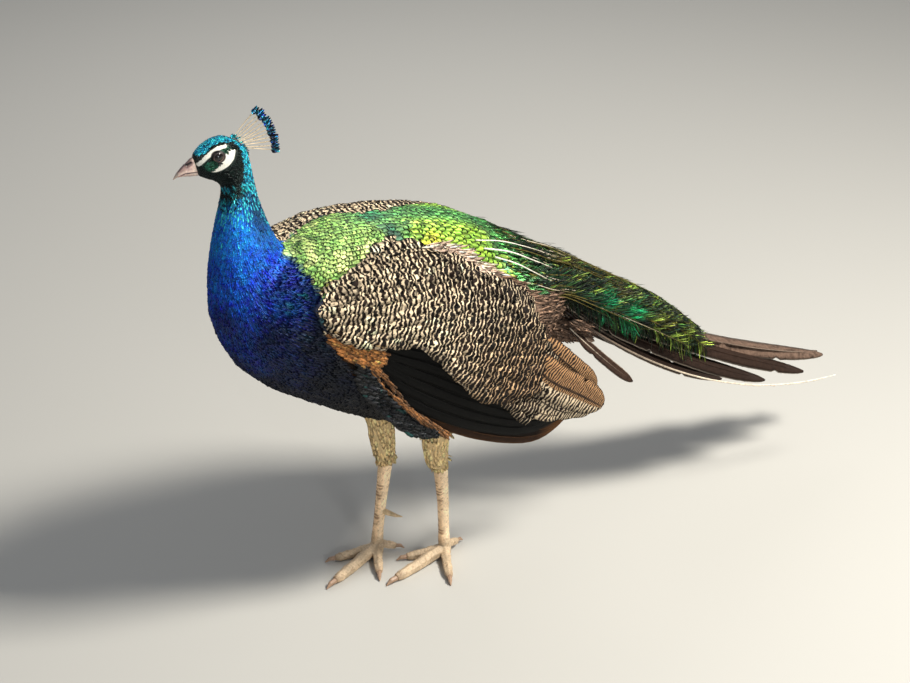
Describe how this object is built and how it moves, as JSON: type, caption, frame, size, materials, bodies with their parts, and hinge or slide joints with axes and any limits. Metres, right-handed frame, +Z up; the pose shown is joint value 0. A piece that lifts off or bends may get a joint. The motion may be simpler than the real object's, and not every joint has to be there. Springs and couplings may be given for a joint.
{
  "type": "peacock",
  "caption": "Standing Indian peafowl cock with a short moulted train, blue neck, barred folded wings, fan crest, tail feathers held low and both feet flat on the floor.",
  "frame": {"origin": "middle of the bounding box on the floor, under the bird's belly", "axes": "+Z up, the bird faces -X, its left side is -Y, the tail points to +X"},
  "size_m": [1.012, 0.2336, 0.7274],
  "materials": {
    "plumage_blue": "glossy iridescent blue feathers, turquoise on the crown",
    "plumage_green": "iridescent green and bronze scale-like feathers",
    "plumage_barred": "cream feathers with fine wavy blackish bars",
    "plumage_black": "matt blackish-brown flight feathers",
    "plumage_rufous": "rufous flight feathers",
    "plumage_brown": "grey-brown tail feathers",
    "down_buff": "soft buff down",
    "leg_skin": "pinkish-cream scaled skin with brown flecks",
    "claw_horn": "horn",
    "spur_horn": "pale horn",
    "bill_horn": "pinkish-grey horn, satin",
    "eye": "wet dark brown",
    "crest_feathers": "tan shafts with blue-green tips"
  },
  "bodies": {
    "root": {"alula_left": "plumage_rufous", "alula_right": "plumage_rufous", "bill_lower": "bill_horn", "bill_upper": "bill_horn", "breast": "plumage_blue", "claw_hallux_left": "claw_horn", "claw_hallux_right": "claw_horn", "claw_inner_left": "claw_horn", "claw_inner_right": "claw_horn", "claw_middle_left": "claw_horn", "claw_middle_right": "claw_horn", "claw_outer_left": "claw_horn", "claw_outer_right": "claw_horn", "coverts_left": "plumage_barred", "coverts_right": "plumage_barred", "crest": "crest_feathers", "eye_left": "eye", "eye_right": "eye", "foot_left": "leg_skin", "foot_right": "leg_skin", "head": "plumage_blue", "neck_lower": "plumage_blue", "neck_upper": "plumage_blue", "primaries_left": "plumage_rufous", "primaries_right": "plumage_rufous", "rectrix_1_left": "plumage_brown", "rectrix_1_right": "plumage_brown", "rectrix_2_left": "plumage_brown", "rectrix_2_right": "plumage_brown", "rectrix_3_left": "plumage_brown", "rectrix_3_right": "plumage_brown", "rectrix_4_left": "plumage_brown", "rectrix_4_right": "plumage_brown", "rectrix_5_left": "plumage_brown", "rectrix_5_right": "plumage_brown", "rump": "plumage_green", "secondaries_left": "plumage_black", "secondaries_right": "plumage_black", "shank_left": "leg_skin", "shank_right": "leg_skin", "short_feather": "plumage_brown", "spur_left": "spur_horn", "spur_right": "spur_horn", "tertials_left": "plumage_barred", "tertials_right": "plumage_barred", "thigh_left": "down_buff", "thigh_right": "down_buff", "train_centre": "plumage_green", "train_left": "plumage_green", "train_right": "plumage_green", "trunk": "plumage_green", "undertail": "down_buff"}
  },
  "joints": []
}
